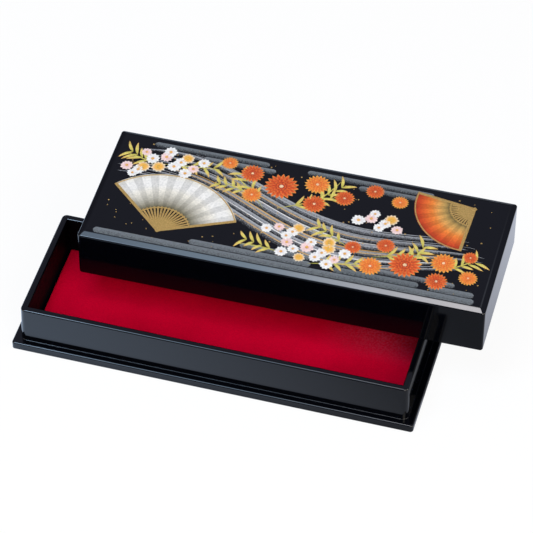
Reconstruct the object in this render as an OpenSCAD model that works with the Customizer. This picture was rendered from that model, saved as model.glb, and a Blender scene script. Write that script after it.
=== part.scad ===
// Lacquer pen box: a flanged tray with a red lining, and the lid that fits down over its walls.
// Both are built of thin boards with mitred corners, pinned and splined under black lacquer.
// Millimetres, +X along the length, +Z up, origin at the centre of the base's underside.

/* [Box] */
// Length of the base, and of the lid outside
box_length = 240; // [160:1:320]
// Width of the base, and of the lid outside
box_width = 90.5; // [60:0.5:140]
// Radius of the upright corners of the base and the lid
box_corner_radius = 1.8; // [1.2:0.1:3]

/* [Base] */
// Thickness of the base plate
base_thickness = 5.1; // [3.5:0.1:8]
// Width of the flange that the lid's rim sits on, from the base's edge to the foot of the tray walls
flange_width = 4.1; // [3.6:0.1:8]
// Rounding of the base's top edge
base_top_rounding = 0.9; // [0.3:0.1:1.1]
// Rounding of the base's bottom edge
base_bottom_rounding = 0.5; // [0.2:0.1:1]

/* [Tray walls] */
// Height of the tray walls above the base
tray_wall_height = 24.1; // [18:0.1:60]
// How far the tray walls lean in from foot to rim, outside, and the lid walls with them, inside
wall_taper = 0.7; // [0:0.1:1.5]
// Thickness of the tray walls at their rim
tray_wall_thickness = 4; // [2.8:0.1:6]
// Radius of the tray's upright corners outside
tray_corner_radius = 3; // [1:0.1:4]
// Rounding of the two edges of the tray's rim
tray_rim_rounding = 1; // [0.2:0.1:1.2]
// Radius of the hollow fillet between the walls and the flange
foot_cove_radius = 0.5; // [0.3:0.1:1.2]

/* [Lining] */
// Gap between the lining and the tray walls
lining_gap = 1.8; // [0.5:0.1:4]
// Thickness of the card under the lining
card_thickness = 0.5; // [0.3:0.1:1.5]
// Thickness of the red lining
lining_thickness = 0.6; // [0.4:0.1:2]

/* [Lid] */
// Clearance between the lid walls and the tray walls when the box is closed
lid_clearance = 0.4; // [0.2:0.1:1]
// Height left free above the tray's rim when the box is closed
lid_headroom = 3.1; // [0.5:0.1:10]
// Rounding of the lid's rim
lid_rim_rounding = 0.5; // [0.2:0.1:1]
// Height of the panel's upright edge, below its bevel
panel_edge_height = 3; // [2:0.1:6]
// Width of the bevel round the lid's top
bevel_width = 4; // [2:0.1:8]
// Drop of the bevel from the lid's top to its edge
bevel_drop = 1.95; // [0.8:0.05:4]
// Rounding between the lid's top and its bevel
bevel_top_rounding = 6; // [1:0.1:8]
// Rounding between the bevel and the lid's sides
bevel_edge_rounding = 1.1; // [0.3:0.1:3]

/* [Joinery] */
// Diameter of the wooden pins
pin_diameter = 1.6; // [1:0.1:2]
// Depth of a pin in a wall
pin_depth_in_wall = 8; // [4:0.5:12]
// Depth of a pin in the base
pin_depth_in_base = 3; // [1.5:0.1:3.2]
// Depth of a pin in the lid's panel
pin_depth_in_panel = 1.8; // [1:0.1:1.9]
// Pins in each long wall
long_wall_pins = 5; // [2:1:9]
// Pins in each short wall
short_wall_pins = 2; // [1:1:4]
// Thickness of the corner splines
spline_thickness = 0.8; // [0.5:0.1:1]
// Width of the corner splines, across the mitre
spline_width = 2; // [1.2:0.1:2.2]
// Distance from a spline's ends to the ends of its corner
spline_end_margin = 3; // [1.5:0.5:8]
// Glue gap round the pins and splines
glue_gap = 0.05; // [0.02:0.01:0.1]

/* [Lid laid aside] */
// How far the lid lies to the right of the tray
lid_shift_x = 28; // [-40:0.1:60]
// How far the lid lies behind the tray
lid_shift_y = 44.1; // [-60:0.1:60]
// Turn of the lid on the tray, in degrees
lid_turn = 0.65; // [-10:0.01:10]
// Gap between the lid's rim and the tray walls that it lies on
lid_rest_gap = 0.2; // [0.1:0.05:1]

/* [Hidden] */
$fn = 64;

// Length and width of the tray outside, at its rim
tray_length = box_length - 2 * (flange_width + wall_taper);
tray_width = box_width - 2 * (flange_width + wall_taper);
tray_rim_z = base_thickness + tray_wall_height;
lining_length = tray_length - 2 * (tray_wall_thickness + lining_gap);
lining_width = tray_width - 2 * (tray_wall_thickness + lining_gap);
// Thickness of the lid walls at their top, under the panel
lid_wall_thickness = flange_width + wall_taper - lid_clearance;
lid_wall_height = tray_wall_height + lid_headroom;
lid_rest_z = tray_rim_z + lid_rest_gap;
// Thickness of the lid's panel in its flat middle
panel_height = panel_edge_height + bevel_drop;

// Height of the cove's thin lower lip
cove_lip = 0.04;
// Overshoot of the cutting shapes past the faces that they cut
past = 5;
// More than any section reaches up or out
section_reach = box_length;

lacquer_black = [0.05, 0.05, 0.06];
lining_red = [0.62, 0.02, 0.13];
card_grey = [0.55, 0.52, 0.46];
bamboo_tan = [0.78, 0.65, 0.42];
spline_wood = [0.66, 0.5, 0.33];

function unit(v) = v / norm(v);

// What a side of a ring takes of a pair: the first on the front and back, the second on the ends
function by_side(side, long, short) = side % 180 == 0 ? long : short;

// Middles of equal steps along a span that is centred on zero
function spread(span, count) = [for (i = [0 : count - 1]) span * ((i + 0.5) / count - 0.5)];

// Convex outline from corners [x, y, rounding]
module rounded_outline(corners) {
    count = len(corners);
    tips = [for (corner = corners) [corner.x, corner.y]];
    to_last = [for (i = [0 : count - 1]) unit(tips[(i + count - 1) % count] - tips[i])];
    to_next = [for (i = [0 : count - 1]) unit(tips[(i + 1) % count] - tips[i])];
    halves = [for (i = [0 : count - 1]) acos(to_last[i] * to_next[i]) / 2];
    reaches = [for (i = [0 : count - 1]) corners[i].z / tan(halves[i])];
    starts = [for (i = [0 : count - 1]) tips[i] + reaches[i] * to_last[i]];
    ends = [for (i = [0 : count - 1]) tips[i] + reaches[i] * to_next[i]];
    polygon([for (i = [0 : count - 1]) each corners[i].z > 0 ? [starts[i], ends[i]] : [tips[i]]]);
    for (i = [0 : count - 1])
        if (corners[i].z > 0)
            intersection() {
                polygon([starts[i], tips[i], ends[i]]);
                translate(tips[i] + corners[i].z / sin(halves[i]) * unit(to_last[i] + to_next[i]))
                    circle(corners[i].z);
            }
}

// Straight run of a section along X between two round corners, with its outer face on y = 0.
// A section's x runs outwards from that face, and its y runs up.
module swept_run(length, radius)
    rotate([90, 0, -90])
        linear_extrude(length - 2 * radius, center = true)
            children();

// Quarter turn of the same section at the run's right end.
// What lies inside the corner's axis is left to the run.
module swept_corner(length, radius)
    translate([length / 2 - radius, radius, 0])
        rotate([0, 0, -90])
            rotate_extrude(angle = 90)
                intersection() {
                    translate([radius, 0])
                        children();
                    translate([0, -section_reach])
                        square([section_reach, 2 * section_reach]);
                }

// One board of a ring of walls, along X with its outer face on y = 0, mitred at both ends
module mitred_board(length, radius, thickness, height)
    intersection() {
        union() {
            swept_run(length, radius)
                children();
            swept_corner(length, radius)
                children();
            mirror([1, 0, 0])
                swept_corner(length, radius)
                    children();
        }
        translate([0, 0, -past])
            linear_extrude(height + 2 * past)
                polygon([
                    [-length / 2 - past, -past],
                    [length / 2 + past, -past],
                    [length / 2 - 2 * thickness, 2 * thickness],
                    [2 * thickness - length / 2, 2 * thickness],
                ]);
    }

// Puts a wall that is drawn along X on one side of a ring: 0 front, 90 right, 180 back, 270 left
module on_side(length, width, side)
    rotate([0, 0, side])
        translate([0, -by_side(side, width, length) / 2, 0])
            children();

// Tongue across the mitre at a wall's right end, or the slot for it when grown by the glue gap
module spline(length, thickness, height, grow = 0)
    translate([length / 2 - thickness / 2, thickness / 2, spline_end_margin - grow])
        rotate([0, 0, 45])
            translate([-spline_width / 2 - grow, -spline_thickness / 2 - grow, 0])
                cube([
                    spline_width + 2 * grow,
                    spline_thickness + 2 * grow,
                    height - 2 * spline_end_margin + 2 * grow
                ]);

// Slots for the tongues at both ends of a wall
module spline_slots(length, thickness, height)
    for (end = [0, 1])
        mirror([end, 0, 0])
            spline(length, thickness, height, glue_gap);

// Pins in one wall's centre line, between two heights, or the holes for them when grown
module wall_pins(length, thickness, count, low, high, grow = 0)
    for (x = spread(length, count))
        translate([x, thickness / 2, low - grow])
            cylinder(d = pin_diameter + 2 * grow, h = high - low + 2 * grow);

// Pins of a whole ring of walls, or the holes for them when grown
module ring_pins(length, width, thickness, low, high, grow = 0)
    for (side = [0 : 90 : 270])
        on_side(length, width, side)
            wall_pins(
                by_side(side, length, width),
                thickness,
                by_side(side, long_wall_pins, short_wall_pins),
                low,
                high,
                grow
            );

// Section of the tray walls: rounded rim on top, hollow fillet at the foot
module tray_wall_section() {
    rounded_outline([
        [wall_taper, 0, 0],
        [0, tray_wall_height, tray_rim_rounding],
        [-tray_wall_thickness, tray_wall_height, tray_rim_rounding],
        [-tray_wall_thickness, 0, 0],
    ]);
    difference() {
        square([wall_taper + foot_cove_radius, foot_cove_radius + cove_lip]);
        translate([wall_taper + foot_cove_radius, foot_cove_radius + cove_lip])
            circle(foot_cove_radius);
    }
}

// Section of the lid walls: rounded rim below, flat on top under the panel
module lid_wall_section()
    rounded_outline([
        [0, 0, lid_rim_rounding],
        [0, lid_wall_height, 0],
        [-lid_wall_thickness, lid_wall_height, 0],
        [wall_taper - lid_wall_thickness, 0, lid_rim_rounding],
    ]);

// Section of the base's edge, from the corner axis outwards
module base_edge_section()
    rounded_outline([
        [-box_corner_radius, 0, 0],
        [0, 0, base_bottom_rounding],
        [0, base_thickness, base_top_rounding],
        [-box_corner_radius, base_thickness, 0],
    ]);

// Section of the lid's panel from edge to edge, with a bevel at both
module panel_section(width)
    rounded_outline([
        [-width / 2, 0, 0],
        [width / 2, 0, 0],
        [width / 2, panel_edge_height, bevel_edge_rounding],
        [width / 2 - bevel_width, panel_height, bevel_top_rounding],
        [bevel_width - width / 2, panel_height, bevel_top_rounding],
        [-width / 2, panel_edge_height, bevel_edge_rounding],
    ]);

// The panel's section drawn out along X
module panel_ridge(length, width)
    rotate([90, 0, 90])
        linear_extrude(length, center = true)
            panel_section(width);

// The panel before its pin holes: two crossing ridges without their corners, and the turned corners
module bevelled_panel() {
    intersection() {
        panel_ridge(box_length, box_width);
        rotate([0, 0, 90])
            panel_ridge(box_width, box_length);
        translate([0, 0, -past])
            linear_extrude(panel_height + 2 * past) {
                square([box_length - 2 * box_corner_radius, box_width + past], center = true);
                square([box_length + past, box_width - 2 * box_corner_radius], center = true);
            }
    }
    for (side = [0 : 90 : 270])
        on_side(box_length, box_width, side)
            swept_corner(by_side(side, box_length, box_width), box_corner_radius)
                translate([-box_width / 2, 0])
                    panel_section(box_width);
}

// Places a lid piece, drawn with the middle of the lid's rim at the origin, where the lid lies
module lid_laid_aside()
    translate([lid_shift_x, lid_shift_y, lid_rest_z])
        rotate([0, 0, lid_turn])
            children();

module base_plate()
    color(lacquer_black)
        difference() {
            union() {
                linear_extrude(base_thickness)
                    square(
                        [box_length - 2 * box_corner_radius, box_width - 2 * box_corner_radius],
                        center = true
                    );
                for (side = [0 : 90 : 270])
                    on_side(box_length, box_width, side) {
                        swept_run(by_side(side, box_length, box_width), box_corner_radius)
                            base_edge_section();
                        swept_corner(by_side(side, box_length, box_width), box_corner_radius)
                            base_edge_section();
                    }
            }
            ring_pins(
                tray_length,
                tray_width,
                tray_wall_thickness,
                base_thickness - pin_depth_in_base,
                base_thickness + past,
                glue_gap
            );
        }

module tray_wall(side) {
    length = by_side(side, tray_length, tray_width);
    pins = by_side(side, long_wall_pins, short_wall_pins);
    color(lacquer_black)
        translate([0, 0, base_thickness])
            on_side(tray_length, tray_width, side)
                difference() {
                    mitred_board(length, tray_corner_radius, tray_wall_thickness, tray_wall_height)
                        tray_wall_section();
                    spline_slots(length, tray_wall_thickness, tray_wall_height);
                    wall_pins(length, tray_wall_thickness, pins, -past, pin_depth_in_wall, glue_gap);
                }
}

module tray_front_wall() tray_wall(0);
module tray_right_wall() tray_wall(90);
module tray_back_wall() tray_wall(180);
module tray_left_wall() tray_wall(270);

module tray_corner_splines()
    color(spline_wood)
        translate([0, 0, base_thickness])
            for (side = [0 : 90 : 270])
                on_side(tray_length, tray_width, side)
                    spline(by_side(side, tray_length, tray_width), tray_wall_thickness, tray_wall_height);

module tray_base_pins()
    color(bamboo_tan)
        ring_pins(
            tray_length,
            tray_width,
            tray_wall_thickness,
            base_thickness - pin_depth_in_base,
            base_thickness + pin_depth_in_wall
        );

module lining_card()
    color(card_grey)
        translate([-lining_length / 2, -lining_width / 2, base_thickness])
            cube([lining_length, lining_width, card_thickness]);

module floor_lining()
    color(lining_red)
        translate([-lining_length / 2, -lining_width / 2, base_thickness + card_thickness])
            cube([lining_length, lining_width, lining_thickness]);

module lid_top_panel()
    color(lacquer_black)
        lid_laid_aside()
            difference() {
                translate([0, 0, lid_wall_height])
                    bevelled_panel();
                ring_pins(
                    box_length,
                    box_width,
                    lid_wall_thickness,
                    lid_wall_height - past,
                    lid_wall_height + pin_depth_in_panel,
                    glue_gap
                );
            }

module lid_wall(side) {
    length = by_side(side, box_length, box_width);
    pins = by_side(side, long_wall_pins, short_wall_pins);
    color(lacquer_black)
        lid_laid_aside()
            on_side(box_length, box_width, side)
                difference() {
                    mitred_board(length, box_corner_radius, lid_wall_thickness, lid_wall_height)
                        lid_wall_section();
                    spline_slots(length, lid_wall_thickness, lid_wall_height);
                    wall_pins(
                        length,
                        lid_wall_thickness,
                        pins,
                        lid_wall_height - pin_depth_in_wall,
                        lid_wall_height + past,
                        glue_gap
                    );
                }
}

module lid_front_wall() lid_wall(0);
module lid_right_wall() lid_wall(90);
module lid_back_wall() lid_wall(180);
module lid_left_wall() lid_wall(270);

module lid_corner_splines()
    color(spline_wood)
        lid_laid_aside()
            for (side = [0 : 90 : 270])
                on_side(box_length, box_width, side)
                    spline(by_side(side, box_length, box_width), lid_wall_thickness, lid_wall_height);

module lid_top_pins()
    color(bamboo_tan)
        lid_laid_aside()
            ring_pins(
                box_length,
                box_width,
                lid_wall_thickness,
                lid_wall_height - pin_depth_in_wall,
                lid_wall_height + pin_depth_in_panel
            );

base_plate();
tray_front_wall();
tray_back_wall();
tray_left_wall();
tray_right_wall();
tray_corner_splines();
tray_base_pins();
lining_card();
floor_lining();
lid_top_panel();
lid_front_wall();
lid_back_wall();
lid_left_wall();
lid_right_wall();
lid_corner_splines();
lid_top_pins();
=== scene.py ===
"""The looks of a lacquer pen box: black boards, a red lining and a decorated lid laid across the tray.

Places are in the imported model's frame. Sizes are in millimetres and become metres when a mesh is made.
The stage, the lamps and the camera are placed in metres.
"""

import math
import random

import bmesh
import bpy
from mathutils import Matrix, Vector, noise


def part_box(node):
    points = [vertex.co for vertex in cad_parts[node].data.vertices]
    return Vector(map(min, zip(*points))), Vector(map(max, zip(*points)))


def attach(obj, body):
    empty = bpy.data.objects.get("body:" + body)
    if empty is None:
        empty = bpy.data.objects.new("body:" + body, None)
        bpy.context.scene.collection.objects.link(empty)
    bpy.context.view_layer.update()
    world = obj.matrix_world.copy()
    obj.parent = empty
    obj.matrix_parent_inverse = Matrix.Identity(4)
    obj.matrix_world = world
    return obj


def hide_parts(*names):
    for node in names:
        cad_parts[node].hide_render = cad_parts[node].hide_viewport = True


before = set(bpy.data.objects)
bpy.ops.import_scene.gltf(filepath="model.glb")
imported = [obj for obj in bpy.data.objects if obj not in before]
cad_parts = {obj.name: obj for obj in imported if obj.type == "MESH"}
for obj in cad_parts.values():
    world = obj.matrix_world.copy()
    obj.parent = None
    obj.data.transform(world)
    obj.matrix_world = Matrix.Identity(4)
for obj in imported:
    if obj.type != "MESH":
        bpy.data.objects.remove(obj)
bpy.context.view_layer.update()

MM = 0.001


def box_of(node):
    """Lowest and highest corner of a CAD node, in millimetres."""
    low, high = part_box(node)
    return low / MM, high / MM


# Roundings, walls and bevels of the boards, as the solids have them
BOX_CORNER = 1.8
BASE_TOP_ROUNDING = 0.9
BASE_BOTTOM_ROUNDING = 0.5
TRAY_CORNER = 3.0
TRAY_RIM_ROUNDING = 1.0
FOOT_COVE = 0.5
FOOT_LIP = 0.04
LID_WALL = 4.4
LID_RIM_ROUNDING = 0.5
PANEL_EDGE = 3.0
BEVEL_WIDTH = 4.0
BEVEL_TOP_ROUNDING = 6.0
BEVEL_EDGE_ROUNDING = 1.1
LID_TURN = math.radians(0.65)
# How far the tray walls lean in outside, and the lid walls inside
WALL_TAPER = 0.7
# The hollow at the walls' foot once lacquer has filled its corner
FOOT_FILLET = 0.25
# Softness of the bevel's mitred corners under the lacquer
MITRE_SOFTNESS = 0.4

# Sizes that the frame gives
base_low, base_high = box_of("base_plate")
BOX_LENGTH = base_high.x - base_low.x
BOX_WIDTH = base_high.y - base_low.y
BASE_TOP = base_high.z
front_low, front_high = box_of("tray_front_wall")
left_low = box_of("tray_left_wall")[0]
TRAY_LENGTH = -2 * (left_low.x + FOOT_COVE + WALL_TAPER)
TRAY_WIDTH = -2 * (front_low.y + FOOT_COVE + WALL_TAPER)
TRAY_WALL = front_high.y + TRAY_WIDTH / 2
TRAY_WALL_HEIGHT = front_high.z - BASE_TOP
lining_low, lining_high = box_of("floor_lining")
panel_low, panel_high = box_of("lid_top_panel")
LID_RIM_Z = box_of("lid_front_wall")[0].z
LID_WALL_HEIGHT = panel_low.z - LID_RIM_Z
PANEL_HEIGHT = panel_high.z - panel_low.z
lid_centre = (panel_low + panel_high) / 2
lid_shift = Matrix.Translation((lid_centre.x, lid_centre.y, LID_RIM_Z))
LID_PLACE = lid_shift @ Matrix.Rotation(LID_TURN, 4, "Z")
TRAY_PLACE = Matrix.Translation((0, 0, BASE_TOP))

SIDES = {"front": 0, "right": 90, "back": 180, "left": 270}
ARC_STEPS = 8
CORNER_STEPS = 10
SHARP_ANGLE = math.radians(40)
# Points of a mesh closer than this become one
MERGE_REACH = 1e-4


# Node trees and materials


def feed(tree, target, value):
    """Links an output to a node's input, or sets the input to a value."""
    if isinstance(value, bpy.types.NodeSocket):
        tree.links.new(value, target)
    else:
        target.default_value = value


def add(tree, kind, inputs=None, **settings):
    """A new node with its settings, and its inputs set or linked."""
    made = tree.nodes.new(kind)
    for name, value in settings.items():
        setattr(made, name, value)
    for name, value in (inputs or {}).items():
        feed(tree, made.inputs[name], value)
    return made


def new_tree(owner):
    """An empty node tree on a material, world or lamp."""
    owner.use_nodes = True
    owner.node_tree.nodes.clear()
    return owner.node_tree


def noise_value(tree, place, scale, detail):
    """A noise between about 0.3 and 0.7, at so many waves in a metre."""
    settings = {"Vector": place, "Scale": scale, "Detail": detail}
    return add(tree, "ShaderNodeTexNoise", settings).outputs["Fac"]


def spread(tree, value, low, high, start=0.3, end=0.7):
    """A value from start to end, turned into one from low to high."""
    ends = {"Value": value, "From Min": start, "From Max": end, "To Min": low, "To Max": high}
    return add(tree, "ShaderNodeMapRange", ends).outputs["Result"]


def combined(tree, operation, first, second):
    """Two values put together by a math operation."""
    return add(tree, "ShaderNodeMath", {0: first, 1: second}, operation=operation).outputs["Value"]


def vector_maths(tree, operation, *vectors):
    """Both outputs of a vector math node."""
    return add(tree, "ShaderNodeVectorMath", dict(enumerate(vectors)), operation=operation).outputs


def parts_of(tree, vector):
    """The X, Y and Z of a vector."""
    return add(tree, "ShaderNodeSeparateXYZ", {"Vector": vector}).outputs


def blend(tree, factor, first, second, mode="MIX"):
    """Two colours mixed by a factor."""
    made = add(tree, "ShaderNodeMix", data_type="RGBA", blend_type=mode)
    for socket, value in (("Factor_Float", factor), ("A_Color", first), ("B_Color", second)):
        feed(tree, next(s for s in made.inputs if s.identifier == socket), value)
    return next(s for s in made.outputs if s.identifier == "Result_Color")


def mottled(tree, value, tones):
    """A colour that goes with a noise from the first of two tones to the second."""
    return blend(tree, spread(tree, value, 0, 1), *tones)


def multiplied(tree, colour, shade):
    """A colour times a shade."""
    return blend(tree, 1.0, colour, shade, "MULTIPLY")


def bump(tree, height, depth, strength=1.0):
    """A bump that is so many millimetres deep."""
    settings = {"Height": height, "Distance": depth * MM, "Strength": strength}
    return add(tree, "ShaderNodeBump", settings).outputs["Normal"]


def surface(name, build):
    """A material whose Principled inputs come from a function of its tree and the place on a piece."""
    material = bpy.data.materials.new(name)
    tree = new_tree(material)
    place = add(tree, "ShaderNodeTexCoord").outputs["Object"]
    shader = add(tree, "ShaderNodeBsdfPrincipled", build(tree, place))
    add(tree, "ShaderNodeOutputMaterial", {"Surface": shader.outputs["BSDF"]})
    return material


WHITE = (1, 1, 1, 1)
LACQUER_BLACK = (0.0005, 0.0007, 0.0016, 1)
# How much the lacquer mirrors: polished, on the lid's sides, and inside
POLISHED_SHINE = 0.5
LID_SIDE_SHINE = 0.25
SATIN_SHINE = 0.06
# A browner red painted into the pile at the back right: painted sheen, not a colour of the cloth
PAINTED_SHEEN_PILE = (0.52, 0.029, 0.066, 1)
# Where the painted sheen on the pile starts and where it is strongest, in metres to the right and to the
# back
PAINTED_SHEEN_END = {"X": (0.05, 0.085), "Y": (-0.004, 0.016)}
PILE_SHEEN = (1.0, 0.01, 0.08, 1)
# The darker and the lighter tone of a mottled or grained surface
PILE_TONES = ((0.49, 0.0005, 0.0172, 1), (0.585, 0.0005, 0.0215, 1))
GOLD_TONES = ((0.52, 0.31, 0.08, 1), (0.78, 0.52, 0.18, 1))
BAMBOO_TONES = ((0.45, 0.3, 0.13, 1), (0.66, 0.5, 0.25, 1))
WOOD_TONES = ((0.28, 0.16, 0.07, 1), (0.48, 0.31, 0.16, 1))
CARD_TONES = ((0.21, 0.19, 0.15, 1), (0.32, 0.29, 0.23, 1))


def black_lacquer(shine):
    """Polished black lacquer: deep, a little wavy, with a faint film that changes its gloss."""

    def build(tree, place):
        film = noise_value(tree, place, scale=260, detail=4)
        wave = noise_value(tree, place, scale=45, detail=1)
        return {
            "Base Color": LACQUER_BLACK,
            "Roughness": spread(tree, film, 0.045, 0.085),
            "IOR": 1.5,
            "Specular IOR Level": shine,
            "Normal": bump(tree, wave, depth=0.012),
        }

    return build


def satin_lacquer(tree, place):
    """The duller coat inside the tray and the lid, which mirrors little of the lining."""
    film = noise_value(tree, place, scale=420, detail=4)
    return {
        "Base Color": LACQUER_BLACK,
        "Roughness": spread(tree, film, 0.5, 0.65),
        "Specular IOR Level": SATIN_SHINE,
        "Normal": bump(tree, film, depth=0.01),
    }


def red_pile(tree, place):
    """Short red pile cloth: a mottled nap, fine pile, soft sheen, and a brownish sheen painted into its
    colour at the back right.
    """
    nap = noise_value(tree, place, scale=28, detail=3)
    pile = noise_value(tree, place, scale=1900, detail=2)
    grain = noise_value(tree, place, scale=700, detail=2)
    cloth = mottled(tree, nap, PILE_TONES)
    # Painted sheen: a noisy haze of the browner red that grows towards the back right
    painted_sheen = spread(tree, noise_value(tree, place, scale=850, detail=3), 0, 1, 0.36, 0.64)
    sides = parts_of(tree, place)
    for side, (start, end) in PAINTED_SHEEN_END.items():
        painted_sheen = combined(tree, "MULTIPLY", painted_sheen, spread(tree, sides[side], 0, 1, start, end))
    cloth = blend(tree, painted_sheen, cloth, PAINTED_SHEEN_PILE)
    shade = spread(tree, pile, 0.8, 1.1)
    pile_height = combined(tree, "ADD", pile, grain)
    return {
        "Base Color": multiplied(tree, cloth, shade),
        "Roughness": 0.95,
        "Specular IOR Level": 0.0,
        "Sheen Weight": 0.1,
        "Sheen Roughness": 0.45,
        "Sheen Tint": PILE_SHEEN,
        "Normal": bump(tree, pile_height, depth=0.08, strength=0.7),
    }


def painted(tree, place):
    """Coloured lacquer paint on the lid, with the mottle of hand rubbing."""
    tint = add(tree, "ShaderNodeAttribute", attribute_name="tint").outputs["Color"]
    rub = noise_value(tree, place, scale=900, detail=3)
    return {
        "Base Color": multiplied(tree, tint, spread(tree, rub, 0.82, 1.08)),
        "Roughness": spread(tree, rub, 0.28, 0.42),
        "Specular IOR Level": 0.35,
    }


def metal_powder(tree, place):
    """Metal powder sprinkled on black lacquer, as thick as the mesh's powder attribute says."""
    amount = add(tree, "ShaderNodeAttribute", attribute_name="powder").outputs["Fac"]
    tint = add(tree, "ShaderNodeAttribute", attribute_name="tint").outputs["Color"]
    speck = spread(tree, noise_value(tree, place, scale=2200, detail=3), -0.35, 0.35)
    thickness = combined(tree, "ADD", amount, speck)
    grain = spread(tree, thickness, 0, 1, 0.1, 0.9)
    return {
        "Base Color": blend(tree, grain, LACQUER_BLACK, tint),
        "Metallic": spread(tree, grain, 0, 0.35, 0, 1),
        "Roughness": spread(tree, grain, 0.06, 0.5, 0, 1),
        "Normal": bump(tree, grain, depth=0.01, strength=0.5),
    }


def gold_leaf(tree, place):
    """Burnished gold leaf and gold line."""
    rub = noise_value(tree, place, scale=1200, detail=3)
    return {
        "Base Color": mottled(tree, rub, GOLD_TONES),
        "Metallic": 0.55,
        "Roughness": spread(tree, rub, 0.3, 0.5),
    }


def grained(tones, stretch, waves):
    """Plain unfinished wood or bamboo, with its grain drawn out along the height."""

    def build(tree, place):
        drawn_out = add(tree, "ShaderNodeMapping", {"Vector": place, "Scale": stretch})
        grain = noise_value(tree, drawn_out.outputs["Vector"], waves, detail=4)
        return {
            "Base Color": mottled(tree, grain, tones),
            "Roughness": spread(tree, grain, 0.55, 0.75),
            "Normal": bump(tree, grain, depth=0.05),
        }

    return build


def grey_card(tree, place):
    """Plain grey card with flecks of fibre."""
    fleck = noise_value(tree, place, scale=1600, detail=5)
    return {
        "Base Color": mottled(tree, fleck, CARD_TONES),
        "Roughness": 0.9,
        "Normal": bump(tree, fleck, depth=0.03),
    }


LACQUER = surface("black_lacquer", black_lacquer(POLISHED_SHINE))
SIDE_LACQUER = surface("lid_side_lacquer", black_lacquer(LID_SIDE_SHINE))
SATIN = surface("satin_lacquer", satin_lacquer)
LINING = surface("red_pile", red_pile)
PAINT = surface("painted_lacquer", painted)
POWDER = surface("metal_powder", metal_powder)
GOLD = surface("gold_leaf", gold_leaf)
BAMBOO = surface("bamboo", grained(BAMBOO_TONES, stretch=(1, 1, 0.06), waves=1500))
SPLINE_WOOD = surface("spline_wood", grained(WOOD_TONES, stretch=(1, 1, 0.1), waves=900))
CARD = surface("grey_card", grey_card)


# Boards of lacquered wood


def finish_piece(name, made, body, materials, replaced=None):
    """Turns a bmesh in millimetres into a piece that rides on a body and may stand for a CAD node."""
    mesh = bpy.data.meshes.new(name)
    bmesh.ops.scale(made, vec=(MM, MM, MM), verts=made.verts)
    made.to_mesh(mesh)
    made.free()
    for material in materials:
        mesh.materials.append(material)
    piece = bpy.data.objects.new(name, mesh)
    bpy.context.scene.collection.objects.link(piece)
    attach(piece, body)
    if replaced:
        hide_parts(replaced)
    return piece


def even(first, last, steps):
    """Values from the first to the last in even steps."""
    return [first + (last - first) * step / steps for step in range(steps + 1)]


def rounded(corners):
    """Points of an outline through corners (x, y, rounding), with an arc at each rounding."""
    points = []
    for index, (x, y, rounding) in enumerate(corners):
        tip = Vector((x, y))
        if not rounding:
            points.append(tip)
            continue
        before = (Vector(corners[index - 1][:2]) - tip).normalized()
        after = (Vector(corners[(index + 1) % len(corners)][:2]) - tip).normalized()
        half = before.angle(after) / 2
        centre = tip + (before + after).normalized() * rounding / math.sin(half)
        start = (tip + before * rounding / math.tan(half) - centre).normalized()
        end = (tip + after * rounding / math.tan(half) - centre).normalized()
        for share in even(0, 1, ARC_STEPS):
            points.append(centre + start.slerp(end, share) * rounding)
    return points


def ring_point(length, width, radius, offset, angle, softness=0.0):
    """Point at the front right of a rounded rectangle grown by offset, at an angle from its front."""
    reach = max(radius + offset, softness)
    across = length / 2 + offset - reach + reach * math.sin(angle)
    along = width / 2 + offset - reach + reach * math.cos(angle)
    return Vector((across, -along))


def loft(rows):
    """A closed bmesh through rows of points, each a closed loop, with both ends capped."""
    made = bmesh.new()
    grid = [[made.verts.new(point) for point in row] for row in rows]
    for low, high in zip(grid, grid[1:]):
        for index in range(len(low)):
            following = (index + 1) % len(low)
            made.faces.new((low[index], low[following], high[following], high[index]))
    made.faces.new(list(reversed(grid[0])))
    made.faces.new(grid[-1])
    bmesh.ops.remove_doubles(made, verts=made.verts, dist=MERGE_REACH)
    bmesh.ops.recalc_face_normals(made, faces=made.faces)
    return made


def lacquered(name, made, place, body, coat_of):
    """A board that stands for the CAD node of its name, with a coat for each face by a function."""
    coats = []
    for face in made.faces:
        face.smooth = True
        coat = coat_of(face)
        if coat not in coats:
            coats.append(coat)
        face.material_index = coats.index(coat)
    bmesh.ops.transform(made, matrix=place, verts=made.verts)
    for edge in made.edges:
        edge.smooth = edge.calc_face_angle(math.pi) < SHARP_ANGLE
    piece = finish_piece(name + "_lacquered", made, body, coats, name)
    shading = piece.modifiers.new("flat_faces_first", "WEIGHTED_NORMAL")
    shading.keep_sharp = True


def mitred_wall(section, length, width, radius, side):
    """One wall of a ring, swept from the middle of one corner to the middle of the next."""
    turned = side % 180 != 0
    run, depth = (width, length) if turned else (length, width)
    turn = Matrix.Rotation(math.radians(side), 3, "Z")
    angles = even(0, math.pi / 4, CORNER_STEPS)
    stations = [(-1, angle) for angle in reversed(angles)] + [(1, angle) for angle in angles]
    rows = []
    for hand, angle in stations:
        points = [(ring_point(run, depth, radius, offset, angle), height) for offset, height in section]
        rows.append([turn @ Vector((hand * point.x, point.y, height)) for point, height in points])
    return loft(rows)


def bevelled_plate(profile, length, width, radius, softness=0.0):
    """A plate whose edge follows a profile of (offset, height) from its underside to its top."""
    angles = even(0, math.pi / 2, CORNER_STEPS)
    rows = []
    for offset, height in profile:
        quarter = [ring_point(length, width, radius, offset, angle, softness) for angle in angles]
        back = quarter[::-1]
        loop = quarter + [Vector((p.x, -p.y)) for p in back]
        loop += [Vector((-p.x, -p.y)) for p in quarter] + [Vector((-p.x, p.y)) for p in back]
        rows.append([Vector((p.x, p.y, height)) for p in loop])
    return loft(rows)


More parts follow.
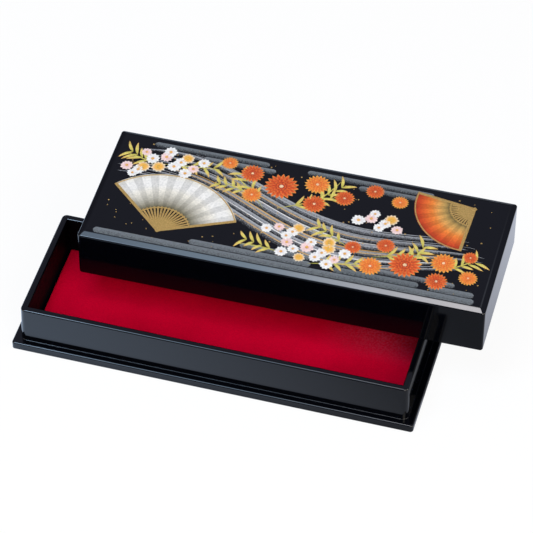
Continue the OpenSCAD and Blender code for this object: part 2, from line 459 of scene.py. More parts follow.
def tray_wall_section():
    """Rounded rim on top, hollow fillet at the outer foot."""
    cove_centre = Vector((WALL_TAPER + FOOT_FILLET, FOOT_LIP + FOOT_FILLET))
    quarter = even(0, math.pi / 2, ARC_STEPS)
    cove = [cove_centre - FOOT_FILLET * Vector((math.sin(a), math.cos(a))) for a in quarter]
    upper = rounded([
        (WALL_TAPER, FOOT_LIP + FOOT_FILLET, 0),
        (0, TRAY_WALL_HEIGHT, TRAY_RIM_ROUNDING),
        (-TRAY_WALL, TRAY_WALL_HEIGHT, TRAY_RIM_ROUNDING),
        (-TRAY_WALL, 0, 0),
    ])
    return [Vector((WALL_TAPER + FOOT_FILLET, 0))] + cove + upper[1:]


def lid_wall_section():
    """Rounded rim below, flat under the panel."""
    return rounded([
        (0, 0, LID_RIM_ROUNDING),
        (0, LID_WALL_HEIGHT, 0),
        (-LID_WALL, LID_WALL_HEIGHT, 0),
        (WALL_TAPER - LID_WALL, 0, LID_RIM_ROUNDING),
    ])


def base_profile():
    """The base's edge, from its underside round to its top."""
    inside = -2 * BASE_TOP_ROUNDING
    return rounded([
        (inside, 0, 0),
        (0, 0, BASE_BOTTOM_ROUNDING),
        (0, BASE_TOP, BASE_TOP_ROUNDING),
        (inside, BASE_TOP, 0),
    ])


def panel_profile():
    """The lid panel's edge and bevel, from its underside round to its flat top."""
    inside = -2 * BEVEL_WIDTH
    return rounded([
        (inside, 0, 0),
        (0, 0, 0),
        (0, PANEL_EDGE, BEVEL_EDGE_ROUNDING),
        (-BEVEL_WIDTH, PANEL_HEIGHT, BEVEL_TOP_ROUNDING),
        (inside, PANEL_HEIGHT, 0),
    ])


# How far a face may lie outside a hollow and still count as its inside
INSIDE_SLACK = 0.1
# The rise of a face's normal below which it counts as an underside, and as upright
UNDERSIDE_RISE = -0.9
UPRIGHT_RISE = 0.1


def panel_coat(face):
    """The panel is satin below, like the lid's walls at its upright edge, and polished above."""
    if face.normal.z < UNDERSIDE_RISE:
        return SATIN
    return SIDE_LACQUER if face.normal.z < UPRIGHT_RISE else LACQUER


def wall_coat(length, width, outside):
    """The coats of walls round a hollow of this size: satin inside, and the given one outside."""

    def coat_of(face):
        middle = face.calc_center_median()
        within_length = abs(middle.x) < length / 2 + INSIDE_SLACK
        within_width = abs(middle.y) < width / 2 + INSIDE_SLACK
        return SATIN if within_length and within_width else outside

    return coat_of


def boards():
    """The base, the lid's panel and both rings of walls."""
    base = bevelled_plate(base_profile(), BOX_LENGTH, BOX_WIDTH, BOX_CORNER)
    lacquered("base_plate", base, Matrix.Identity(4), "tray", lambda face: LACQUER)
    panel = bevelled_plate(panel_profile(), BOX_LENGTH, BOX_WIDTH, BOX_CORNER, MITRE_SOFTNESS)
    panel_place = LID_PLACE @ Matrix.Translation((0, 0, LID_WALL_HEIGHT))
    lacquered("lid_top_panel", panel, panel_place, "lid", panel_coat)
    tray_coat = wall_coat(TRAY_LENGTH - 2 * TRAY_WALL, TRAY_WIDTH - 2 * TRAY_WALL, LACQUER)
    rim_wall = LID_WALL - WALL_TAPER
    lid_coat = wall_coat(BOX_LENGTH - 2 * rim_wall, BOX_WIDTH - 2 * rim_wall, SIDE_LACQUER)
    for side, angle in SIDES.items():
        wall = mitred_wall(tray_wall_section(), TRAY_LENGTH, TRAY_WIDTH, TRAY_CORNER, angle)
        lacquered(f"tray_{side}_wall", wall, TRAY_PLACE, "tray", tray_coat)
        wall = mitred_wall(lid_wall_section(), BOX_LENGTH, BOX_WIDTH, BOX_CORNER, angle)
        lacquered(f"lid_{side}_wall", wall, LID_PLACE, "lid", lid_coat)


# The red lining


LINING_CELL = 1.5
LINING_SWELL = 0.07
# Length of the swells along and across the lining, and the layer of the noise that they come from
SWELL_LENGTH = 17
SWELL_WIDTH = 13
SWELL_LAYER = 0.3
# Width of the pressed edge, and the share of the thickness that is left at the cut
LINING_EDGE = 0.5
CUT_SHARE = 0.35


def lining():
    """The lining cloth on its card: a thin sheet with a slightly uneven top and pressed edges."""
    width = lining_high.y - lining_low.y
    length = lining_high.x - lining_low.x
    thickness = lining_high.z - lining_low.z
    columns = round(length / LINING_CELL)
    lines = round(width / LINING_CELL)

    def top(x, y):
        """Height of the cloth, which thins out towards its cut edge."""
        margin = min(x - lining_low.x, lining_high.x - x, y - lining_low.y, lining_high.y - y)
        edge = min(margin / LINING_EDGE, 1)
        fullness = CUT_SHARE + (1 - CUT_SHARE) * math.sqrt(edge * (2 - edge))
        swell = noise.noise(Vector((x / SWELL_LENGTH, y / SWELL_WIDTH, SWELL_LAYER))) * LINING_SWELL
        return lining_low.z + (thickness - LINING_SWELL + swell) * fullness

    def steps(low, high, count):
        """Even steps with two more close to each end, for the pressed edge."""
        between = even(low, high, count)[1:-1]
        near = [low, low + LINING_EDGE / 4, low + LINING_EDGE]
        far = [high - LINING_EDGE, high - LINING_EDGE / 4, high]
        return near + between + far

    across = steps(lining_low.y, lining_high.y, lines)
    rows = []
    for x in steps(lining_low.x, lining_high.x, columns):
        upper = [Vector((x, y, top(x, y))) for y in across]
        lower = [Vector((x, y, lining_low.z)) for y in reversed(across)]
        rows.append(upper + lower)
    made = loft(rows)
    for face in made.faces:
        face.smooth = True
    piece = finish_piece("red_lining", made, "tray", [LINING], "floor_lining")


# Decoration on the lid's top: fans, chrysanthemums and grasses by a stream


# How deep the paint reaches into the panel, how high it stands, and the step from layer to layer
PAINT_DEPTH = 0.06
PAINT_LIFT = 0.03
LAYER = 0.012
# Where a blade's outline meets its inner colour, as a share of its half width
OUTLINE_SHARE = 0.76
# Half the width of a blade where it comes to a point
POINT_HALF = 0.05
# The power that makes a petal fuller than a sine curve
PETAL_POWER = 0.75
DECOR_MARGIN = 1.5
DECOR_HALF_LENGTH = BOX_LENGTH / 2 - BEVEL_WIDTH - DECOR_MARGIN
DECOR_HALF_WIDTH = BOX_WIDTH / 2 - BEVEL_WIDTH - DECOR_MARGIN
DECOR_PLACE = LID_PLACE @ Matrix.Translation((0, 0, LID_WALL_HEIGHT + PANEL_HEIGHT))
BEVEL_SLOPE = math.atan2(PANEL_HEIGHT - PANEL_EDGE, BEVEL_WIDTH)
# How far inside the panel's outline its top starts to round over to the bevel
ROUNDING_START = BEVEL_WIDTH + BEVEL_TOP_ROUNDING * math.tan(BEVEL_SLOPE / 2)
DECOR_SEED = 11

GOLD_TINT = (0.72, 0.43, 0.12)
CREAM = (0.83, 0.78, 0.66)
WARM_WHITE = (0.86, 0.84, 0.8)
OLIVE = (0.12, 0.1, 0.04)
DEEP_RED = (0.42, 0.03, 0.012)
VERMILION = (0.74, 0.1, 0.02)
ORANGE = (0.84, 0.24, 0.04)
AMBER = (0.88, 0.45, 0.06)
PINK = (0.85, 0.38, 0.36)
PALE_PINK = (0.88, 0.66, 0.62)
LEAF_GREEN = (0.45, 0.42, 0.07)
LEAF_YELLOW = (0.7, 0.6, 0.14)
SILVER = (0.42, 0.43, 0.44)
MIST_GREY = (0.15, 0.175, 0.18)


def mixed(first, second, share):
    """A colour between two others."""
    return tuple(a + (b - a) * share for a, b in zip(first, second))


def ramp(colours, share):
    """The colour at a share of the way along a list of colours."""
    place = min(max(share, 0), 1) * (len(colours) - 1)
    index = min(int(place), len(colours) - 2)
    return mixed(colours[index], colours[index + 1], place - index)


def pointing(angle):
    """Unit vector on the lid's top at an angle from its length."""
    return Vector((math.cos(angle), math.sin(angle)))


def edge_drop(point):
    """How far the panel's rounded edge lies below its top at a point."""
    past_end = abs(point.x) - BOX_LENGTH / 2 + ROUNDING_START
    past_side = abs(point.y) - BOX_WIDTH / 2 + ROUNDING_START
    return max(past_end, past_side, 0) ** 2 / (2 * BEVEL_TOP_ROUNDING)


class Motif:
    """A mesh of raised blades on the lid's top, with a colour and a powder amount at each point."""

    def __init__(self):
        """An empty mesh with both layers."""
        self.mesh = bmesh.new()
        self.tint = self.mesh.verts.layers.float_color.new("tint")
        self.powder = self.mesh.verts.layers.float.new("powder")

    def vertex(self, point, height, colour, amount):
        """A new point at a height above the panel, which drops with the panel's rounded edge."""
        made = self.mesh.verts.new((point.x, point.y, height - edge_drop(point)))
        made[self.tint] = (*colour, 1)
        made[self.powder] = amount
        return made

    def blade(self, spine, halves, colours, layer=0, crown=0.05, outline=None, powder=(0, 0, 0)):
        """One closed blade along a spine, with its half widths along it.

        The colours go from its root to its tip, and the powder from its left to its right.
        """
        level = PAINT_LIFT + layer * LAYER
        widest = max(halves)
        left, middle, right = powder
        near_left = middle + (left - middle) * OUTLINE_SHARE
        near_right = middle + (right - middle) * OUTLINE_SHARE
        sections = []
        for index, (point, half) in enumerate(zip(spine, halves)):
            along = (spine[min(index + 1, len(spine) - 1)] - spine[max(index - 1, 0)]).normalized()
            out = Vector((-along.y, along.x)) * half
            colour = ramp(colours, index / (len(spine) - 1))
            rim = outline or colour
            rise = crown * half / widest
            sections.append([
                self.vertex(point + out, -PAINT_DEPTH, rim, left),
                self.vertex(point + out, level, rim, left),
                self.vertex(point + out * OUTLINE_SHARE, level + rise / 2, colour, near_left),
                self.vertex(point, level + rise, colour, middle),
                self.vertex(point - out * OUTLINE_SHARE, level + rise / 2, colour, near_right),
                self.vertex(point - out, level, rim, right),
                self.vertex(point - out, -PAINT_DEPTH, rim, right),
            ])
        for low, high in zip(sections, sections[1:]):
            for index in range(len(low)):
                following = (index + 1) % len(low)
                self.mesh.faces.new((low[index], high[index], high[following], low[following]))
        self.mesh.faces.new(sections[0])
        self.mesh.faces.new(list(reversed(sections[-1])))

    def petal(self, root, angle, length, width, colours, fullness, steps=6, bend=0.0, **look):
        """A blade that swells towards its tip, or is pointed at both ends where fullness is 1."""
        spine = []
        halves = []
        for share in even(0, 1, steps):
            spine.append(root + pointing(angle + bend * share) * length * share)
            swell = math.sin(math.pi * share ** fullness) ** PETAL_POWER
            halves.append(max(width / 2 * swell, POINT_HALF))
        self.blade(spine, halves, colours, **look)

    def dot(self, centre, size, colours, steps, **look):
        """A small round spot."""
        root = centre - Vector((size / 2, 0))
        self.petal(root, 0, size, size, colours, fullness=1.0, steps=steps, **look)

    def finish(self, name, material):
        """Puts the motif on the lid."""
        bmesh.ops.recalc_face_normals(self.mesh, faces=self.mesh.faces)
        bmesh.ops.transform(self.mesh, matrix=DECOR_PLACE, verts=self.mesh.verts)
        finish_piece(name, self.mesh, "lid", [material])


# Rings of a chrysanthemum from the outside in: share of the flower's radius, and number of petals
BLOOM_RINGS = ((1.0, 19), (0.76, 17), (0.52, 13), (0.3, 9))
# How far its petals overlap, and where they are widest, their root and their length, as shares
BLOOM_OVERLAP = 1.15
BLOOM_WIDEST = 0.7
BLOOM_ROOT = 0.12
BLOOM_PETAL = 0.9
BLOOM_LAYER = 8
# The seeds round the middle one, their distance from it and their size, as shares of the radius
BLOOM_SEEDS = 6
SEED_REACH = 0.09
SEED_SIZE = 0.1


def chrysanthemum(motif, centre, radius, colours, dice):
    """A full flower: rings of petals, the inner ones shorter and higher, round a small gold eye."""
    for ring, (share, count) in enumerate(BLOOM_RINGS):
        start = dice.uniform(0, math.tau)
        width = BLOOM_OVERLAP * math.tau * radius * share * BLOOM_WIDEST / count
        for petal in range(count):
            angle = start + math.tau * petal / count
            root = centre + pointing(angle) * radius * share * BLOOM_ROOT
            length = radius * share * BLOOM_PETAL
            layer = BLOOM_LAYER + 2 * ring + petal % 2
            look = {"fullness": 1.5, "layer": layer, "outline": GOLD_TINT}
            motif.petal(root, angle, length, width, colours, **look)
    eye_layer = BLOOM_LAYER + 2 * len(BLOOM_RINGS)
    for seed in range(BLOOM_SEEDS + 1):
        reach = 0 if seed == BLOOM_SEEDS else radius * SEED_REACH
        spot = centre + pointing(math.tau * seed / BLOOM_SEEDS) * reach
        motif.dot(spot, radius * SEED_SIZE, (AMBER, CREAM), steps=4, layer=eye_layer)


DAISY_PETALS = 11
# Width of a daisy's petals and of its eye, as shares of its radius
DAISY_PETAL_WIDTH = 0.46
DAISY_EYE = 0.5


def daisy(motif, centre, radius, colours, dice):
    """A small field daisy with narrow petals and an amber eye."""
    start = dice.uniform(0, math.tau)
    width = radius * DAISY_PETAL_WIDTH
    for petal in range(DAISY_PETALS):
        angle = start + math.tau * petal / DAISY_PETALS
        length = radius * dice.uniform(0.9, 1.05)
        look = {"fullness": 1.7, "steps": 5, "layer": 9 + petal % 2}
        motif.petal(centre, angle, length, width, colours, **look)
    motif.dot(centre, radius * DAISY_EYE, (GOLD_TINT, AMBER), steps=6, layer=12, outline=OLIVE)


STEM_WIDTH = 0.7
LEAF_WIDTH = 1.9
LEAF_BEND = 0.25
# Where the pairs of leaves grow, as shares of the stem's length
LEAF_PLACES = (0.3, 0.5, 0.7, 0.88)


def grass(motif, root, angle, length, dice):
    """A stem of slender bamboo grass with pairs of leaves."""
    bend = dice.uniform(-0.25, 0.25)
    stem = {"fullness": 1.0, "steps": 8, "bend": bend, "layer": 6}
    motif.petal(root, angle, length, STEM_WIDTH, (LEAF_GREEN, LEAF_YELLOW), **stem)
    colours = (LEAF_GREEN, LEAF_YELLOW, GOLD_TINT)
    for share in LEAF_PLACES:
        for hand in (-1, 1):
            spot = root + pointing(angle) * length * share
            lean = angle + bend * share + hand * dice.uniform(0.45, 0.8)
            reach = dice.uniform(7, 10.5)
            look = {"fullness": 0.9, "bend": hand * LEAF_BEND, "layer": 7, "outline": GOLD_TINT}
            motif.petal(spot, lean, reach, LEAF_WIDTH, colours, **look)


# Where a fan's paper begins and its outer border lies, as shares of its radius
FAN_INNER = 0.4
FAN_BORDER = 0.985
FAN_STEPS = 6
# How far the pleats overlap, and how light every second one is beside the others
PLEAT_OVERLAP = 1.01
PLEAT_SHADE = 0.8
# Half widths of the outer and inner ribs and of the borders, and the size of the pivot
GUARD_HALF = 0.9
RIB_HALF = 0.55
BORDER_HALF = 0.4
PIVOT_SIZE = 2.8
RIB_STEPS = 4
# How far the inner ribs reach under the paper, as a share of the radius
RIB_TUCK = 0.02
BORDER_STEPS = 4


def fan(motif, gold, pivot, first, last, radius, colours, pleats):
    """An open folding fan: pleats shaded in turn, with gold borders and gold ribs down to the pivot."""
    gold_pair = (GOLD_TINT, GOLD_TINT)
    step = (last - first) / pleats
    shares = even(FAN_INNER, 1, FAN_STEPS)
    for pleat in range(pleats):
        heading = pointing(first + step * (pleat + 0.5))
        spine = [pivot + heading * radius * share for share in shares]
        halves = [radius * share * math.tan(step / 2) * PLEAT_OVERLAP for share in shares]
        shade = 1.0 if pleat % 2 else PLEAT_SHADE
        toned = [tuple(shade * part for part in colour) for colour in colours]
        motif.blade(spine, halves, toned, layer=3, crown=0.02)
    for rib in range(pleats + 1):
        heading = pointing(first + step * rib)
        guard = rib in (0, pleats)
        outer = 1.0 if guard else FAN_INNER + RIB_TUCK
        half = GUARD_HALF if guard else RIB_HALF
        spine = [pivot + heading * radius * outer * mark / RIB_STEPS for mark in range(RIB_STEPS + 1)]
        gold.blade(spine, [half] * len(spine), gold_pair, layer=4, crown=0.06)
    turns = even(first, last, BORDER_STEPS * pleats)
    for share in (FAN_INNER, FAN_BORDER):
        spine = [pivot + pointing(turn) * radius * share for turn in turns]
        gold.blade(spine, [BORDER_HALF] * len(spine), gold_pair, layer=6, crown=0.04)
    gold.dot(pivot, PIVOT_SIZE, (GOLD_TINT, CREAM), steps=8, layer=8)


STREAM_LANES = 6
STREAM_STEPS = 60
LANE_STEP = 4.6
LANE_FILL = 0.88
LANE_POWDER = (0.85, 0.4, 0.04)
# Where the thin lines lie beside the middle of a lane, as shares of the step from lane to lane
LINE_SHIFTS = (0.5, 0.1)
# The stream's height at the left, its fall to the right, and the size, number and start of its bends
STREAM_HEIGHT = 15
STREAM_FALL = 32
BEND_SIZE = 11
BEND_COUNT = 1.15
BEND_START = 0.4
# Width of the stream at its ends, and how much wider it is in its middle
END_WIDTH = 0.8
MIDDLE_WIDENING = 0.5


def stream_line(offset, start, end):
    """Points of one line of the stream, which winds across the lid, and the stream's width at each."""
    points = []
    widths = []
    for share in even(start, end, STREAM_STEPS):
        across = (2 * share - 1) * DECOR_HALF_LENGTH
        bend = BEND_SIZE * math.sin(math.tau * BEND_COUNT * share + BEND_START)
        wide = END_WIDTH + MIDDLE_WIDENING * math.sin(math.pi * share)
        points.append(Vector((across, STREAM_HEIGHT - STREAM_FALL * share + bend + offset * wide)))
        widths.append(wide)
    return points, widths


def tapered(widths, half):
    """Half widths that follow the stream's width and narrow to a point at both ends."""
    ends = [math.sqrt(math.sin(turn)) for turn in even(0, math.pi, len(widths) - 1)]
    return [max(half * wide * end, POINT_HALF) for wide, end in zip(widths, ends)]


def stream(dice):
    """The stream: lanes of silver powder, each bright along one edge, with thin lines between them."""
    water = Motif()
    lines = Motif()
    for lane in range(STREAM_LANES):
        offset = (lane - STREAM_LANES / 2 + 0.5) * LANE_STEP
        spine, widths = stream_line(offset, dice.uniform(0.0, 0.1), dice.uniform(0.9, 1.0))
        halves = tapered(widths, LANE_STEP / 2 * LANE_FILL)
        water.blade(spine, halves, (SILVER, SILVER), crown=0.01, powder=LANE_POWDER)
        for shift in LINE_SHIFTS:
            beside = offset + shift * LANE_STEP
            spine, widths = stream_line(beside, dice.uniform(0, 0.3), dice.uniform(0.7, 1.0))
            halves = tapered(widths, dice.uniform(0.18, 0.3))
            tint = dice.choice((SILVER, WARM_WHITE, GOLD_TINT))
            lines.blade(spine, halves, (tint, tint), layer=1, crown=0.03)
    water.finish("lid_stream_powder", POWDER)
    lines.finish("lid_stream_lines", PAINT)


BANK_POWDER = (0.95, 0.7, 0.5)
DRIFT_POWDER = (1.0, 0.55, 0.12)
# Bars of mist: height on the lid, powder, and the middle and length of each bar
MIST_ROWS = (
    (37, DRIFT_POWDER, ((-62, 70), (34, 76))),
    (32.4, DRIFT_POWDER, ((-44, 44), (48, 40))),
    (-39.4, BANK_POWDER, ((0, 224),)),
    (-34.7, BANK_POWDER, ((-20, 72), (54, 50), (98, 26))),
    (-30.1, DRIFT_POWDER, ((-6, 42), (76, 46))),
)
BAR_HALF = 2.1


def mist(dice):
    """Flat bars of mist with round ends, in rows along the back and in a bank along the front."""
    bars = Motif()
    turns = even(0, math.pi / 2, ARC_STEPS)
    inwards = [BAR_HALF * (1 - math.cos(turn)) for turn in turns]
    widths = [max(BAR_HALF * math.sin(turn), POINT_HALF) for turn in turns]
    halves = widths + widths[::-1]
    for y, amounts, row in MIST_ROWS:
        for middle, length in row:
            places = [inward - length / 2 for inward in inwards]
            places += [length / 2 - inward for inward in reversed(inwards)]
            spine = [Vector((middle + place, y)) for place in places]
            tint = mixed(MIST_GREY, SILVER, dice.uniform(0.05, 0.4))
            bars.blade(spine, halves, (tint, tint), layer=2, crown=0.01, powder=amounts)
    bars.finish("lid_mist", POWDER)


FLAKE_COUNT = 150
# The shares of the lid's half length and half width over which the flakes are scattered
FLAKE_LENGTH = 0.98
FLAKE_WIDTH = 0.96


def flakes(dice):
    """Small squares of cut gold leaf scattered on the ground."""
    leaf = Motif()
    for _ in range(FLAKE_COUNT):
        x = dice.uniform(-1, 1) * DECOR_HALF_LENGTH * FLAKE_LENGTH
        y = dice.uniform(-1, 1) * DECOR_HALF_WIDTH * FLAKE_WIDTH
        size = dice.uniform(0.35, 0.9)
        heading = pointing(dice.uniform(0, math.pi)) * size
        centre = Vector((x, y))
        spine = [centre - heading / 2, centre + heading / 2]
        leaf.blade(spine, [size / 2] * 2, (GOLD_TINT, AMBER), layer=2, crown=0.01)
    leaf.finish("lid_gold_flakes", GOLD)


PALE_FAN = (OLIVE, mixed(OLIVE, CREAM, 0.5), CREAM, WARM_WHITE, CREAM)
RED_FAN = (OLIVE, GOLD_TINT, ORANGE, VERMILION, DEEP_RED)
# Folding fans: pivot, first and last angle in degrees, radius, colours and number of pleats
FANS = (
    ((-76, -31), 24, 138, 46, PALE_FAN, 17),
    ((97, 33), 172, 268, 35, RED_FAN, 13),
)
# Stems of grass: root, angle in radians and length
STEMS = (
    ((-22, 2), 2.2, 34), ((-14, 4), 0.5, 36), ((-30, 12), 3.0, 24), ((4, 12), 0.9, 26),
    ((34, -16), 2.6, 26), ((48, -20), 0.35, 30), ((66, -28), 1.2, 28), ((90, -20), 0.6, 22),
    ((14, -34), 0.25, 30), ((-2, -30), 2.9, 26), ((-88, 22), 0.15, 34), ((-92, 20), 2.7, 20),
)
WARM = (DEEP_RED,) * 3 + (VERMILION, ORANGE)
GOLDEN = (VERMILION,) * 3 + (ORANGE, AMBER)
# Chrysanthemums: place, radius and colours
BLOOMS = (
    ((-16, 22), 10, WARM), ((4, 29), 7.5, GOLDEN), ((-35, 28), 7, WARM), ((6, 13), 7, WARM),
    ((-31, 11), 6, GOLDEN), ((22, 22), 6, WARM), ((-50, 33), 5, GOLDEN), ((38, 32), 5.5, WARM),
    ((54, 27), 5, GOLDEN), ((68, -21), 9.5, WARM), ((89, -14), 7.5, GOLDEN), ((49, -27), 7, GOLDEN),
    ((88, -29), 6.5, WARM), ((54, -9), 5.5, WARM), ((105, -22), 5.5, GOLDEN), ((103, -6), 4.5, WARM),
    ((36, -15), 5, WARM),
)
WHITE_DAISY = (PALE_PINK, WARM_WHITE, WARM_WHITE)
PINK_DAISY = (PINK, PALE_PINK, PALE_PINK)
AMBER_DAISY = (AMBER, AMBER, CREAM)
DAISY_COLOURS = (WHITE_DAISY, PINK_DAISY, WHITE_DAISY, AMBER_DAISY)
# Clusters of daisies: middle, number and reach
CLUSTERS = (
    ((-82, 26), 11, 15), ((16, -24), 13, 16), ((-104, 14), 4, 7), ((46, 8), 7, 11), ((-4, -12), 5, 9),
)
# The turn from daisy to daisy, the first one's step, and the reach along and across the lid
CLUSTER_TURN = 2.4
CLUSTER_START = 0.4
CLUSTER_LENGTH = 1.4
CLUSTER_WIDTH = 0.62


def decoration():
    """All the motifs on the lid, laid out from the middle of its top."""
    dice = random.Random(DECOR_SEED)
    mist(dice)
    stream(dice)
    flakes(dice)

    papers = Motif()
    ribs = Motif()
    for pivot, first, last, radius, colours, pleats in FANS:
        ends = (math.radians(first), math.radians(last))
        fan(papers, ribs, Vector(pivot), *ends, radius, colours, pleats)
    papers.finish("lid_fans", PAINT)
    ribs.finish("lid_fan_ribs", GOLD)

    leaves = Motif()
    for root, angle, length in STEMS:
        grass(leaves, Vector(root), angle, length, dice)
    leaves.finish("lid_grasses", PAINT)

    flowers = Motif()
    for place, radius, colours in BLOOMS:
        chrysanthemum(flowers, Vector(place), radius, colours, dice)
    flowers.finish("lid_chrysanthemums", PAINT)

    small = Motif()
    for centre, count, reach in CLUSTERS:
        for flower in range(count):
            turn = flower * CLUSTER_TURN
            out = reach * math.sqrt((flower + CLUSTER_START) / count)
            towards = Vector((CLUSTER_LENGTH * math.cos(turn), CLUSTER_WIDTH * math.sin(turn)))
            place = Vector(centre) + towards * out
            colours = DAISY_COLOURS[flower % len(DAISY_COLOURS)]
            daisy(small, place, dice.uniform(3.3, 4.4), colours, dice)
    small.finish("lid_daisies", PAINT)


# Pieces inside, the stage, the light and the camera


def inner_pieces():
    """The pins, splines and card inside keep their solids and get their own wood and card."""
    looks = {
        "tray_base_pins": BAMBOO,
        "lid_top_pins": BAMBOO,
        "tray_corner_splines": SPLINE_WOOD,
        "lid_corner_splines": SPLINE_WOOD,
        "lining_card": CARD,
    }
    for node, material in looks.items():
        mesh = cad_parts[node].data
        mesh.materials.clear()
        mesh.materials.append(material)


FLOOR_SIZE = 12.0
FLOOR_CELLS = 4
FLOOR_COLOUR = (0.9, 0.9, 0.9, 1)
FLOOR_GLOW = 0.92
# The floor in the lacquer is bluer at the left than at the right, with these places and colours
SHINE_LEFT = -0.1
SHINE_RIGHT = 0.17
LEFT_SHINE = (0.99, 1.24, 1.63, 1)
RIGHT_SHINE = (0.98, 1.03, 1.19, 1)
# The lit floor dims this way: where that starts and ends, how light it is then, and the curve
FRONT_RIGHT = (0.707, -0.707, 0)
SHADE_NEAR = -0.05
SHADE_FAR = 0.12
SHADE_DEPTH = 0.3
SHADE_CURVE = 1.4
# How far from the middle the lit floor starts to darken, and where it is as dark as the room
LIT_NEAR = 0.3
LIT_FAR = 0.7
# How light the floor is under the lid, how many millimetres this is shifted forwards, and its edge
UNDER_LID = 0.2
LID_SHADOW_SHIFT = 20
LID_SHADOW_ENDS = (0.85, 1.05)
# How light it is beside the base, along how many millimetres, and its edge
BESIDE_BASE = 0.62
BASE_SHADE_LENGTH = 216
BASE_SHADE_ENDS = (1.03, 1.14)
ROOM_COLOUR = (0.235, 0.245, 0.33, 1)
# How light the room is at the height of the floor, and the rise at which it is fully light
ROOM_LOW = 0.1
ROOM_FULL_HEIGHT = 0.65


def ray_kinds(tree):
    """Two values: 1 for rays from the camera, and 1 for rays from the camera, mirrors or glass."""
    path = add(tree, "ShaderNodeLightPath").outputs
    mirrored = combined(tree, "MAXIMUM", path["Is Glossy Ray"], path["Is Transmission Ray"])
    return path["Is Camera Ray"], combined(tree, "MAXIMUM", path["Is Camera Ray"], mirrored)


def shadow_round(tree, place, centre, length, darkest, ends):
    """The shade on the floor round the lid or the base.

    It is darkest up to the first of two shares of half the length and width, and ends at the second.
    """
    half = Vector((length / 2, BOX_WIDTH / 2, 1)) * MM
    away = vector_maths(tree, "SUBTRACT", place, centre)["Vector"]
    shares = vector_maths(tree, "DIVIDE", away, half)["Vector"]
    sides = parts_of(tree, vector_maths(tree, "ABSOLUTE", shares)["Vector"])
    return spread(tree, combined(tree, "MAXIMUM", sides["X"], sides["Y"]), darkest, 1, *ends)


def floor():
    """A floor that is white to the camera with a faint shadow, and lit near the box in the lacquer."""
    cells = {"x_subdivisions": FLOOR_CELLS, "y_subdivisions": FLOOR_CELLS}
    bpy.ops.mesh.primitive_grid_add(size=FLOOR_SIZE, **cells)
    piece = bpy.context.object
    piece.name = "floor"
    material = bpy.data.materials.new("white_floor")
    tree = new_tree(material)
    to_camera, seen = ray_kinds(tree)
    place = add(tree, "ShaderNodeTexCoord").outputs["Object"]
    diagonal = vector_maths(tree, "DOT_PRODUCT", place, FRONT_RIGHT)["Value"]
    shaded = spread(tree, diagonal, 0, 1, SHADE_NEAR, SHADE_FAR)
    dimmed = spread(tree, combined(tree, "POWER", shaded, SHADE_CURVE), 1, SHADE_DEPTH, 0, 1)
    away = vector_maths(tree, "LENGTH", place)["Value"]
    lit = spread(tree, away, 1, ROOM_LOW, LIT_NEAR, LIT_FAR)
    lid_shadow = (lid_centre - Vector((0, LID_SHADOW_SHIFT, 0))) * MM
    shadows = (
        shadow_round(tree, place, lid_shadow, BOX_LENGTH, UNDER_LID, LID_SHADOW_ENDS),
        shadow_round(tree, place, Vector(), BASE_SHADE_LENGTH, BESIDE_BASE, BASE_SHADE_ENDS),
    )
    across = spread(tree, parts_of(tree, place)["X"], 0, 1, SHINE_LEFT, SHINE_RIGHT)
    shine = blend(tree, across, LEFT_SHINE, RIGHT_SHINE)
    for shade in (dimmed, lit, *shadows):
        shine = multiplied(tree, shine, shade)
    glow = add(tree, "ShaderNodeEmission", {"Color": blend(tree, to_camera, shine, WHITE)})
    paper = add(tree, "ShaderNodeBsdfDiffuse", {"Color": FLOOR_COLOUR})
    share = combined(tree, "MULTIPLY", seen, FLOOR_GLOW)
    layers = {"Fac": share, 1: paper.outputs["BSDF"], 2: glow.outputs["Emission"]}
    both = add(tree, "ShaderNodeMixShader", layers)
    add(tree, "ShaderNodeOutputMaterial", {"Surface": both.outputs["Shader"]})
    piece.data.materials.append(material)


def room():
    """A cool grey studio that is darker lower down, and white behind the object."""
    world = bpy.data.worlds.new("studio")
    bpy.context.scene.world = world
    tree = new_tree(world)
    to_camera = add(tree, "ShaderNodeLightPath").outputs["Is Camera Ray"]
    towards = parts_of(tree, add(tree, "ShaderNodeTexCoord").outputs["Generated"])
    height = spread(tree, towards["Z"], ROOM_LOW, 1, 0, ROOM_FULL_HEIGHT)
    grey = multiplied(tree, ROOM_COLOUR, height)
    light = add(tree, "ShaderNodeBackground", {"Color": blend(tree, to_camera, grey, WHITE)})
    add(tree, "ShaderNodeOutputWorld", {"Surface": light.outputs["Background"]})


SOFTBOX_PLACE = Vector((-0.22, -0.13, 1.35))
SOFTBOX_LENGTH = 0.58
SOFTBOX_DEPTH = 0.4
SOFTBOX_POWER = 9.2
# How bright the softbox is at the far side of its depth
SOFTBOX_FAR = 0.1
# Colours of the softbox from its left to its right, at shares of its length
SOFTBOX_COLOURS = {
    0.1: (0.15, 0.2, 0.27, 1),
    0.48: (0.3, 0.4, 0.5, 1),
    0.7: (0.72, 0.75, 0.82, 1),
    0.86: (1.0, 0.97, 1.0, 1),
}
# The other lamps: azimuth and elevation in degrees, distance, length, depth and power
LEFT_PANEL = (0, 67.5, 1.3, 0.47, 0.4, 12.75)
EDGE_LIGHT = (147.5, 39.5, 2.2, 0.3, 0.4, 0.22)
SIDE_LIGHTS = {
    "main_light": (36, 36, 2.2, 1.1, 1.2, 27.5),
    "right_light": (80, 22, 2.2, 1.2, 0.9, 18.0),
    "left_light": (-50, 26, 2.2, 1.0, 0.9, 13.2),
}
SIDE_LIGHT_COLOUR = (1.0, 0.93, 0.82)
# The colours of the panel at the front left, which fades out to its right, and its place
PANEL_COLOURS = {0.16: (0.54, 0.74, 0.98, 1), 0.3: (0.28, 0.385, 0.51, 1), 1.0: (0, 0, 0, 1)}
PANEL_SHIFT = -0.265
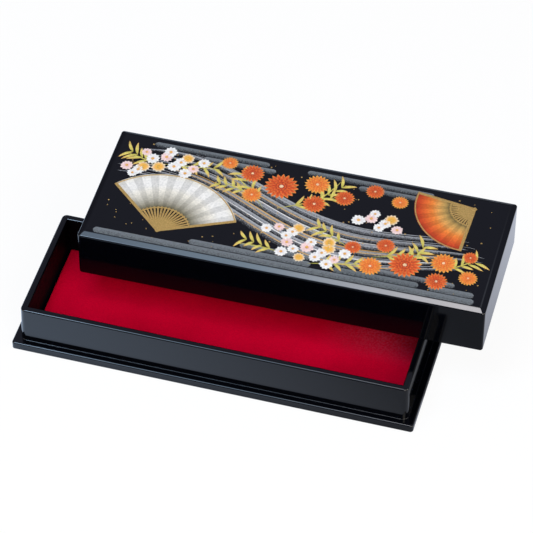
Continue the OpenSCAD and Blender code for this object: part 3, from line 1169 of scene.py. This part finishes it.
# The same for the small light at the back right, which the lid's right bevel mirrors, and its turn
EDGE_COLOURS = {0.5: (0.8, 0.88, 1.0, 1), 0.9: (0, 0, 0, 1)}
EDGE_TURN = math.radians(-41)


def direction(azimuth, elevation):
    """Unit vector away from the object, at an azimuth from the front to the right and an elevation."""
    turn = math.radians(azimuth)
    rise = math.radians(elevation)
    flat = math.cos(rise)
    return Vector((math.sin(turn) * flat, -math.cos(turn) * flat, math.sin(rise)))


def lamp(name, place, length, depth, power):
    """A flat lamp at a place, which faces straight down."""
    data = bpy.data.lights.new(name, "AREA")
    data.shape = "RECTANGLE"
    data.size = length
    data.size_y = depth
    data.energy = power
    holder = bpy.data.objects.new(name, data)
    holder.location = place
    holder.visible_camera = False
    bpy.context.scene.collection.objects.link(holder)
    return holder


def aimed_lamp(name, azimuth, elevation, distance, length, depth, power):
    """A flat lamp that faces the object from an azimuth and an elevation."""
    towards = direction(azimuth, elevation)
    holder = lamp(name, towards * distance, length, depth, power)
    holder.rotation_euler = (-towards).to_track_quat("-Z", "Y").to_euler()
    return holder


def grade(holder, colours, far_share=1.0):
    """Gives a lamp colours from left to right, and lets it fade from its middle to its far side."""
    tree = new_tree(holder.data)
    spot = parts_of(tree, add(tree, "ShaderNodeNewGeometry").outputs["Parametric"])
    fade = spread(tree, spot["Y"], 1.0, far_share, 0.5, 1.0)
    band = add(tree, "ShaderNodeValToRGB", {"Fac": spot["X"]})
    stops = band.color_ramp.elements
    while len(stops) < len(colours):
        stops.new(0.5)
    for stop, (share, colour) in zip(stops, colours.items()):
        stop.position = share
        stop.color = colour
    glow = add(tree, "ShaderNodeEmission", {"Color": band.outputs["Color"], "Strength": fade})
    add(tree, "ShaderNodeOutputLight", {"Surface": glow.outputs["Emission"]})


def lamps():
    """A softbox overhead, a cool panel at the front left, three soft lights and a small edge light."""
    overhead = lamp("softbox", SOFTBOX_PLACE, SOFTBOX_LENGTH, SOFTBOX_DEPTH, SOFTBOX_POWER)
    grade(overhead, SOFTBOX_COLOURS, SOFTBOX_FAR)
    panel = aimed_lamp("left_panel", *LEFT_PANEL)
    panel.location.x = PANEL_SHIFT
    grade(panel, PANEL_COLOURS)
    edge = aimed_lamp("edge_light", *EDGE_LIGHT)
    edge.rotation_euler.rotate_axis("Z", EDGE_TURN)
    grade(edge, EDGE_COLOURS)
    for name, light in SIDE_LIGHTS.items():
        aimed_lamp(name, *light).data.color = SIDE_LIGHT_COLOUR


CAMERA_AZIMUTH = 15.53
CAMERA_ELEVATION = 46.39
CAMERA_ROLL = math.radians(0.12)
CAMERA_DISTANCE = 1.8011
CAMERA_RIGHT = 0.02047
CAMERA_UP = 0.03946
CAMERA_LENS = 208.12
CAMERA_SENSOR = 36.0


def camera():
    """The photograph's viewpoint: a long lens from above the front right."""
    back = direction(CAMERA_AZIMUTH, CAMERA_ELEVATION)
    turn = math.radians(CAMERA_AZIMUTH)
    level = Vector((math.cos(turn), math.sin(turn), 0))
    rolled = Matrix.Rotation(CAMERA_ROLL, 3, back)
    right = rolled @ level
    up = rolled @ back.cross(level)
    data = bpy.data.cameras.new("camera")
    data.lens = CAMERA_LENS
    data.sensor_width = CAMERA_SENSOR
    holder = bpy.data.objects.new("camera", data)
    place = back * CAMERA_DISTANCE + right * CAMERA_RIGHT + up * CAMERA_UP
    axes = Matrix((right, up, back)).transposed().to_4x4()
    holder.matrix_world = Matrix.Translation(place) @ axes
    bpy.context.scene.collection.objects.link(holder)
    bpy.context.scene.camera = holder


camera()
room()
floor()
lamps()
boards()
lining()
inner_pieces()
decoration()
bpy.context.scene.view_settings.view_transform = "Standard"
